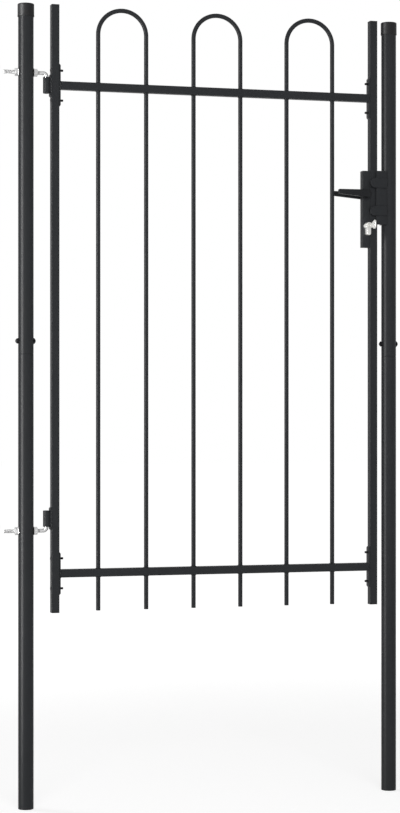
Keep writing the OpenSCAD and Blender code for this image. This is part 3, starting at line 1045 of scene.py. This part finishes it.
@dataclass(frozen=True)
class Hinge:
    """A hook bolt through the hinge post, and the eye that hangs on it."""

    name: str
    pin_way: int
    pitch: float = 1.5 * MM
    bend: float = 9 * MM
    thread_share: float = 0.91
    shank_play: float = 0.05 * MM
    rim: float = 0.7 * MM
    washer_play: float = 0.25 * MM
    washer_edge: float = 0.25 * MM
    barrel_h: float = 40 * MM
    barrel_near: float = 9 * MM
    barrel_bore: float = 5.08 * MM
    barrel_edge: float = 0.6 * MM
    plate_t: float = 3 * MM
    plate_bevel: float = 4 * MM
    barrel_weld_r: float = 1.9 * MM
    barrel_weld_y: float = 4.6 * MM
    barrel_weld_end: float = 3 * MM
    barrel_weld_in: float = 0.6 * MM
    plate_weld_r: float = 1.1 * MM
    plate_weld_y: float = 9.7 * MM

    def build(self) -> None:
        """Makes the hook, its nuts and washers, and the eye with its welds."""
        self.hook()
        self.fixings()
        self.eye()

    @property
    def height(self) -> float:
        """Height of the hook's shank."""
        return Box.of(f"{self.name}_nuts").middle.z

    def hook(self) -> None:
        """Sweeps the hook: a thread to past the post, a plain shank, the bend and the pin."""
        box = Box.of(f"{self.name}_hook")
        radius = box.size.y / 2
        reach = pivot("leaf_swing").x - box.low.x - self.bend
        threaded = self.thread_share * reach
        pin = box.size.z - radius - self.bend
        moves = [Straight(reach - threaded), Bend(self.bend, 90, 12), Straight(pin)]
        shank = Form.rod(radius - self.shank_play, moves).soften(self.rim, above=RIM_ABOVE)
        start = shift(box.low.x + threaded, 0, self.height)
        facing = turn(180 if self.pin_way > 0 else 0, "Z")
        form = Form().add(shank, start @ TO_RIGHT @ facing)
        form.add(Form.thread(radius, self.pitch, threaded), start @ TO_LEFT)
        form.piece(f"{self.name}_hook_bolt", Body.POSTS, ZINC, f"{self.name}_hook")

    def fixings(self) -> None:
        """Makes a nut and a washer on each side of the post."""
        nuts, washers = Box.of(f"{self.name}_nuts"), Box.of(f"{self.name}_washers")
        post = Box.of("hinge_post_lower").size.x / 2
        bore = Box.of(f"{self.name}_hook").size.y / 2
        nut = Form.hex_nut(nuts.size.y, nuts.high.x - washers.high.x, bore)
        washer = Form.tube(
            washers.size.y / 2, bore + self.washer_play, washers.high.x - post, self.washer_edge
        )
        right, left = shift(z=self.height) @ TO_RIGHT, shift(z=self.height) @ TO_LEFT
        flat = turn(30, "Z")
        form = Form().add(
            nut, shift(washers.high.x) @ right @ flat, shift(washers.low.x) @ left @ flat
        )
        form.piece(f"{self.name}_hexagon_nuts", Body.POSTS, ZINC, f"{self.name}_nuts")
        form = Form().add(washer, shift(post) @ right, shift(-post) @ left)
        form.piece(f"{self.name}_flat_washers", Body.POSTS, ZINC, f"{self.name}_washers")

    def eye(self) -> None:
        """Makes the eye's barrel, its plate and the welds that hold them."""
        node = f"{self.name}_eye"
        box = Box.of(node)
        axis = pivot("leaf_swing").x
        upward = box.low.z + self.barrel_near
        low = upward if self.pin_way > 0 else box.high.z - self.barrel_near - self.barrel_h
        barrel = Form.tube(axis - box.low.x, self.barrel_bore, self.barrel_h, self.barrel_edge)
        flange = Form.flange(box.size.z, box.size.y, -self.plate_t, self.plate_bevel)
        form = Form().add(barrel, shift(axis, 0, low))
        form.add(flange, shift(box.high.x, box.high.y, box.middle.z) @ TO_FRONT)
        form.piece(f"{self.name}_welded_eye", Body.LEAF, LEAF_COAT, node)
        seam_x = box.high.x - self.plate_t - self.barrel_weld_in
        edge_z = box.low.z + 2 * self.plate_bevel
        seam = Form.bead(self.barrel_h - 2 * self.barrel_weld_end, self.barrel_weld_r)
        edge = Form.bead(box.size.z - 4 * self.plate_bevel, self.plate_weld_r)
        welds = Form()
        for side in (-1, 1):
            welds.add(seam, shift(seam_x, side * self.barrel_weld_y, low + self.barrel_weld_end))
            welds.add(edge, shift(box.high.x, side * self.plate_weld_y, edge_z))
        welds.piece(f"{self.name}_eye_welds", Body.LEAF, WELD_COAT)


@dataclass(frozen=True)
class Leaf:
    """The leaf's frame: stiles, rails, their plates and bolts, and the hoops."""

    plug_edge: float = 1.1 * MM
    plug_slack: float = 3.5 * MM
    plug_depth: float = 14 * MM
    plug_lap: float = 0.2 * MM
    plug_tip: float = 0.3 * MM
    plate_t: float = 3 * MM
    plate_bevel: float = 4 * MM
    bolt_r: float = 3 * MM
    bolt_pitch: float = 1 * MM
    bolt_inset: float = 6 * MM
    bolt_past: float = 8 * MM
    head_foot: float = 0.3 * MM
    weld_r: float = 1.3 * MM
    weld_end: float = 1 * MM
    ring_play: float = 0.7 * MM
    rim: float = 0.6 * MM

    def build(self) -> None:
        """Dresses the tubes and makes everything that is on them."""
        for node in ("hinge_stile", "latch_stile", "top_rail", "bottom_rail"):
            dress(node, LEAF_COAT)
        self.plugs("stile_top_plugs", 1)
        self.plugs("stile_bottom_plugs", -1)
        for rail in ("top_rail", "bottom_rail"):
            self.plates(rail)
            self.bolts(rail)
            self.bar_welds(rail)
        for number in (1, 2, 3):
            self.hoop(f"hoop_{number}")

    def plugs(self, node: str, way: int) -> None:
        """Makes the heads of two stile plugs.

        Args:
            node: The CAD node of both plugs.
            way: 1 on top of the stiles, -1 below them.
        """
        box = Box.of(node)
        stile = Box.of("hinge_stile")
        side = stile.size.x
        inner = side - self.plug_slack
        head = box.high.z - stile.high.z if way > 0 else stile.low.z - box.low.z
        z = box.high.z - head / 2 if way > 0 else box.low.z + head / 2
        sink = head / 2 + self.plug_depth / 2 - self.plug_lap
        plug = Form.block((side, side, head), self.plug_edge, 3)
        body = Form.block((inner, inner, self.plug_depth), self.plug_tip, 1)
        form = Form()
        for x in (stile.middle.x, Box.of("latch_stile").middle.x):
            form.add(plug, shift(x, 0, z))
            form.add(body, shift(x, 0, z - way * sink))
        form.piece(f"{node}_moulded", Body.LEAF, PLASTIC, node)

    def plates(self, rail: str) -> None:
        """Makes the bevelled plates on both ends of a rail, with the welds round the rail.

        Args:
            rail: The rail's CAD node.
        """
        node = f"{rail}_plates"
        box, tube = Box.of(node), Box.of(rail)
        flange = Form.flange(box.size.z, box.size.y, self.plate_t, self.plate_bevel)
        form = Form().add(
            flange,
            shift(box.low.x, box.high.y, box.middle.z) @ TO_FRONT,
            shift(box.high.x, box.low.y, box.middle.z) @ turn(180, "Z") @ TO_FRONT,
        )
        form.piece(f"{node}_bevelled", Body.LEAF, LEAF_COAT, node)
        half, end = tube.size.z / 2, self.weld_end
        bead = Form.bead(2 * (half - end), self.weld_r)
        welds = Form()
        for x in (tube.low.x, tube.high.x):
            for way in (-1, 1):
                welds.add(bead, shift(x, way * half, tube.low.z + end))
                welds.add(bead, shift(x, end - half, tube.middle.z + way * half) @ TO_BACK)
        welds.piece(f"{rail}_end_welds", Body.LEAF, WELD_COAT)

    def bolts(self, rail: str) -> None:
        """Makes the four bolts of a rail: a low round head outside, a threaded end inside.

        Args:
            rail: The rail's CAD node.
        """
        node = f"{rail}_bolts"
        box, stile = Box.of(node), Box.of("hinge_stile")
        head_h = stile.low.x - box.low.x
        reach = Box.of(rail).low.x + self.bolt_past - stile.low.x
        head = Form.dome(box.size.y / 2, head_h, self.head_foot)
        screw = Form.thread(self.bolt_r, self.bolt_pitch, reach, steps=24)
        form = Form()
        for z in (box.low.z + self.bolt_inset, box.high.z - self.bolt_inset):
            left, right = shift(stile.low.x, 0, z), shift(box.high.x - head_h, 0, z)
            form.add(head, left @ TO_LEFT, right @ TO_RIGHT)
            form.add(screw, left @ TO_RIGHT, right @ TO_LEFT)
        form.piece(f"{node}_threaded", Body.LEAF, BOLT_BLACK, node)

    def bar_welds(self, rail: str) -> None:
        """Makes the weld rings where the bars pass through a rail.

        Args:
            rail: The rail's CAD node.
        """
        tube = Box.of(rail)
        form = Form()
        for number in (1, 2, 3):
            hoop = Box.of(f"hoop_{number}")
            radius = hoop.size.y / 2
            ring = Form.ring_bead(radius + self.ring_play, self.weld_r)
            for x in (hoop.low.x + radius, hoop.high.x - radius):
                form.add(ring, shift(x, 0, tube.low.z), shift(x, 0, tube.high.z))
        form.piece(f"{rail}_bar_welds", Body.LEAF, WELD_COAT)

    def hoop(self, node: str) -> None:
        """Bends a bar into a hoop.

        Args:
            node: The hoop's CAD node.
        """
        box = Box.of(node)
        radius = box.size.y / 2
        bend = box.size.x / 2 - radius
        leg = box.size.z - radius - bend
        bar = Form.rod(radius, [Straight(leg), Bend(bend, 180, 56), Straight(leg)], sides=36)
        bar.soften(self.rim, above=RIM_ABOVE)
        form = Form().add(bar, shift(box.low.x + radius, 0, box.low.z))
        form.piece(f"{node}_bar", Body.LEAF, LEAF_COAT, node)


@dataclass(frozen=True)
class Lock:
    """The lock in the leaf: its case, latch bolt, cylinder, plug and key."""

    case_edge: float = 1.2 * MM
    cylinder_edge: float = 0.35 * MM
    plug_edge: float = 0.25 * MM
    key_edge: float = 0.5 * MM
    weld_r: float = 1.2 * MM
    weld_end: float = 1.5 * MM

    def build(self) -> None:
        """Makes the case and the cylinder with its plug and key."""
        self.case()
        dress("latch_bolt", ZINC)
        cylinder = Form.of_node("lock_cylinder").soften(self.cylinder_edge)
        cylinder.piece("lock_cylinder_body", Body.LEAF, NICKEL, "lock_cylinder")
        plug = Form.of_node("lock_plug").soften(self.plug_edge)
        plug.piece("lock_plug_turned", Body.KEY, NICKEL, "lock_plug")
        key = Form.of_node("key").soften(self.key_edge, 3)
        key.piece("key_cut", Body.KEY, NICKEL, "key")

    def case(self) -> None:
        """Makes the case with its rounded edges, and the welds to the stile."""
        box = Box.of("lock_case")
        block = Form.block(box.size, self.case_edge, 4)
        form = Form().add(block, Matrix.Translation(box.middle))
        form.piece("lock_case_shell", Body.LEAF, LEAF_COAT, "lock_case")
        bead = Form.bead(box.size.y - 2 * self.weld_end, self.weld_r)
        front = self.weld_end - box.size.y / 2
        welds = Form()
        for z in (box.low.z, box.high.z):
            welds.add(bead, shift(box.high.x, front, z) @ TO_BACK)
        welds.piece("lock_case_welds", Body.LEAF, WELD_COAT)


@dataclass(frozen=True)
class Handle:
    """The two levers on their square spindle."""

    thick: float = 10 * MM
    arm_edge: float = 2.6 * MM
    tip_top: float = 9.5 * MM
    tip_low: float = -2.5 * MM
    tip_round: float = 3 * MM
    heel: float = 4 * MM
    rose_t: float = 2.4 * MM
    rose_in: float = 0.5 * MM
    rose_edge: float = 0.4 * MM
    neck_foot: float = 8.2 * MM
    neck_low: float = 7.4 * MM
    waist: float = 7.1 * MM
    waist_at: float = 0.6
    neck_high: float = 7.6 * MM
    neck_high_at: float = 0.85
    neck_top: float = 8.6 * MM

    def build(self) -> None:
        """Makes both levers and dresses the spindle."""
        self.lever("front_lever", -1)
        self.lever("rear_lever", 1)
        dress("spindle", ZINC)

    def lever(self, node: str, way: int) -> None:
        """Makes a lever: a tapering arm, a waisted neck and a rose on the case.

        Args:
            node: The lever's CAD node.
            way: -1 in front of the leaf, 1 behind it.
        """
        box = Box.of(node)
        axis = pivot("handle_turn")
        hub = box.size.z / 2
        tip_x = box.low.x - axis.x + self.tip_round
        outline = [
            *arc(0, self.heel - hub, self.heel, -90, 0, 8),
            *arc(0, hub - self.heel, self.heel, 0, 90, 8),
            *arc(tip_x, self.tip_top - self.tip_round, self.tip_round, 90, 180, 5),
            *arc(tip_x, self.tip_low + self.tip_round, self.tip_round, 180, 270, 5),
        ]
        inner = box.low.y + self.thick if way < 0 else box.high.y
        foot = box.high.y if way < 0 else box.low.y
        neck = self.neck(hub, box.size.y - self.thick + 1 * MM)
        arm = Form.plate(outline, self.thick).soften(self.arm_edge, 4)
        form = Form().add(arm, shift(axis.x, inner, axis.z) @ TO_FRONT)
        out = TO_FRONT if way < 0 else TO_BACK
        form.add(Form.lathe(neck, steps=48), shift(axis.x, foot, axis.z) @ out)
        form.piece(f"{node}_cast", Body.HANDLE, LEVER_COAT, node)

    def neck(self, hub: float, reach: float) -> Outline:
        """Outline of a lever's rose and neck.

        Args:
            hub: The lever's half height at its hub.
            reach: How far the neck stands out from the case.

        Returns:
            Radius and height of each point.
        """
        rose = hub - self.rose_in
        return [
            (0, 0), (rose - self.rose_edge, 0), (rose, self.rose_edge),
            (rose, self.rose_t - self.rose_in), (rose - self.rose_in, self.rose_t),
            (self.neck_foot, self.rose_t), (self.neck_low, self.rose_t + 1 * MM),
            (self.waist, reach * self.waist_at), (self.neck_high, reach * self.neck_high_at),
            (self.neck_top, reach), (0, reach),
        ]


@dataclass(frozen=True)
class Keep:
    """The angle on the latch post, with its two fingers."""

    edge: float = 0.5 * MM
    finger_edge: float = 1.4 * MM
    weld_r: float = 1.4 * MM
    weld_end: float = 3 * MM
    weld_in: float = 0.2 * MM
    weld_back: float = 1.2 * MM

    def build(self) -> None:
        """Rounds the edges of the angle and its fingers, and welds it to the post."""
        angle = Form.of_node("keep_plate").soften(self.edge)
        angle.piece("keep_angle", Body.POSTS, POST_COAT, "keep_plate")
        fingers = Form.of_node("keep_fingers").soften(self.finger_edge, 4)
        fingers.piece("keep_stops", Body.POSTS, POST_COAT, "keep_fingers")
        box = Box.of("keep_plate")
        corner = shift(box.high.x - self.weld_in, box.low.y + self.weld_back, box.low.z)
        bead = Form.bead(box.size.z - 2 * self.weld_end, self.weld_r)
        welds = Form().add(bead, corner @ shift(z=self.weld_end))
        welds.piece("keep_welds", Body.POSTS, POST_WELD_COAT)


# ---- Studio ----


class Lights(Enum):
    """The surfaces that a lamp is there for."""

    GLOSS = "gloss"
    MATT = "matt"


@dataclass(frozen=True)
class Softbox:
    """A rectangular lamp that faces a point."""

    name: str
    spot: tuple[float, float, float]
    aim: tuple[float, float, float]
    size: tuple[float, float]
    watts: float
    lights: Lights

    def build(self) -> None:
        """Hangs the lamp, and hides it from the surfaces that it isn't there for."""
        lamp = bpy.data.lights.new(self.name, "AREA")
        lamp.shape = "RECTANGLE"
        lamp.size, lamp.size_y = self.size
        lamp.energy = self.watts
        holder = new_object(self.name, lamp)
        holder.visible_diffuse = self.lights is Lights.MATT
        holder.visible_glossy = self.lights is Lights.GLOSS
        holder.location = self.spot
        facing = Vector(self.aim) - Vector(self.spot)
        holder.rotation_euler = facing.to_track_quat("-Z", "Y").to_euler()


@dataclass(frozen=True)
class Studio:
    """The camera, the pale floor, the lamps and the white surroundings."""

    eye: tuple[float, float, float] = (-1.0579, -5.2067, 0.9914)
    yaw: float = -16.105
    pitch: float = 89.973
    lens: float = 95.414
    floor_half: float = 30.0
    floor_grey: tuple[float, float, float] = (0.8, 0.8, 0.8)
    floor_middle: tuple[float, float, float] = (0.5, 0, 0)
    floor_turn: tuple[float, float] = (2.4, 3.2)
    ambient: float = 0.12
    floor_near: float = 0.71
    floor_far: float = 0.91
    lamps: tuple[Softbox, ...] = (
        Softbox(
            "left strip", (-1.135, -0.391, 1.05), (0.2, 0.0, 1.0), (0.14, 2.6), 185, Lights.GLOSS
        ),
        Softbox(
            "front softbox", (-0.9, -6.0, 1.9), (0.5, 0.0, 0.95), (4.4, 4.4), 232, Lights.MATT
        ),
        Softbox(
            "rear softbox", (-4.5, 4.0, 2.4), (0.5, 0.0, 0.95), (2.0, 2.0), 90, Lights.MATT
        ),
    )

    def build(self) -> None:
        """Sets up everything round the gate."""
        self.camera()
        self.floor()
        self.surroundings()
        for lamp in self.lamps:
            lamp.build()

    def camera(self) -> None:
        """Places the camera at eye level, to the left of the gate."""
        data = bpy.data.cameras.new("camera")
        data.lens = self.lens
        holder = new_object("camera", data)
        holder.location = self.eye
        holder.rotation_euler = (math.radians(self.pitch), 0, math.radians(self.yaw))
        bpy.context.scene.camera = holder

    def floor(self) -> None:
        """Lays a pale floor that keeps the gate's shadow."""
        material = bpy.data.materials.new("pale floor")
        material.use_nodes = True
        graph = Graph(material.node_tree)
        values = {0: graph.place(), 1: self.floor_middle}
        away = graph.node("ShaderNodeVectorMath", {"operation": "DISTANCE"}, values, "Value")
        rise = self.floor_far - self.floor_near
        level = self.floor_near + away.above(*self.floor_turn) * rise
        matt = graph.node("ShaderNodeBsdfDiffuse", values={"Color": tint(self.floor_grey)})
        strength = self.plain_sight(graph) * level
        glow = graph.node("ShaderNodeEmission", values={"Color": WHITE, "Strength": strength})
        both = graph.node("ShaderNodeAddShader", values={0: matt, 1: glow})
        graph.node("ShaderNodeOutputMaterial", values={"Surface": both})
        form = Form()
        bmesh.ops.create_grid(form.bm, x_segments=1, y_segments=1, size=self.floor_half)
        mesh = bpy.data.meshes.new("floor")
        form.bm.to_mesh(mesh)
        form.bm.free()
        mesh.materials.append(material)
        new_object("floor", mesh)

    @staticmethod
    def plain_sight(graph: Graph) -> Signal:
        """Tells rays of sight, gloss and clear material from light on matt surfaces.

        Args:
            graph: The graph that the mask is made in.

        Returns:
            1 for the former, and 0 for the latter.
        """
        sight, gloss, clear = (
            graph.node("ShaderNodeLightPath", output=f"Is {ray} Ray")
            for ray in ("Camera", "Glossy", "Transmission")
        )
        return sight + gloss + clear

    def surroundings(self) -> None:
        """Makes a white backdrop for the eye and for gloss, over a dimmer even light."""
        scene = bpy.context.scene
        world = bpy.data.worlds.new("studio")
        world.use_nodes = True
        scene.world = world
        graph = Graph(world.node_tree)
        strength = self.plain_sight(graph) * (1 - self.ambient) + self.ambient
        back = graph.node("ShaderNodeBackground", values={"Color": WHITE, "Strength": strength})
        graph.node("ShaderNodeOutputWorld", values={"Surface": back})
        scene.view_settings.view_transform = "Standard"


def main() -> None:
    """Builds the studio and the gate, piece by piece."""
    logging.basicConfig(level=logging.INFO, format="%(name)s %(message)s")
    parts = (
        Studio(),
        Post("hinge_post"),
        Post("latch_post"),
        Hinge("top_hinge", -1),
        Hinge("bottom_hinge", 1),
        Leaf(),
        Lock(),
        Handle(),
        Keep(),
    )
    for part in parts:
        part.build()
        LOG.info("%s done", type(part).__name__)


if __name__ == "__main__":
    main()
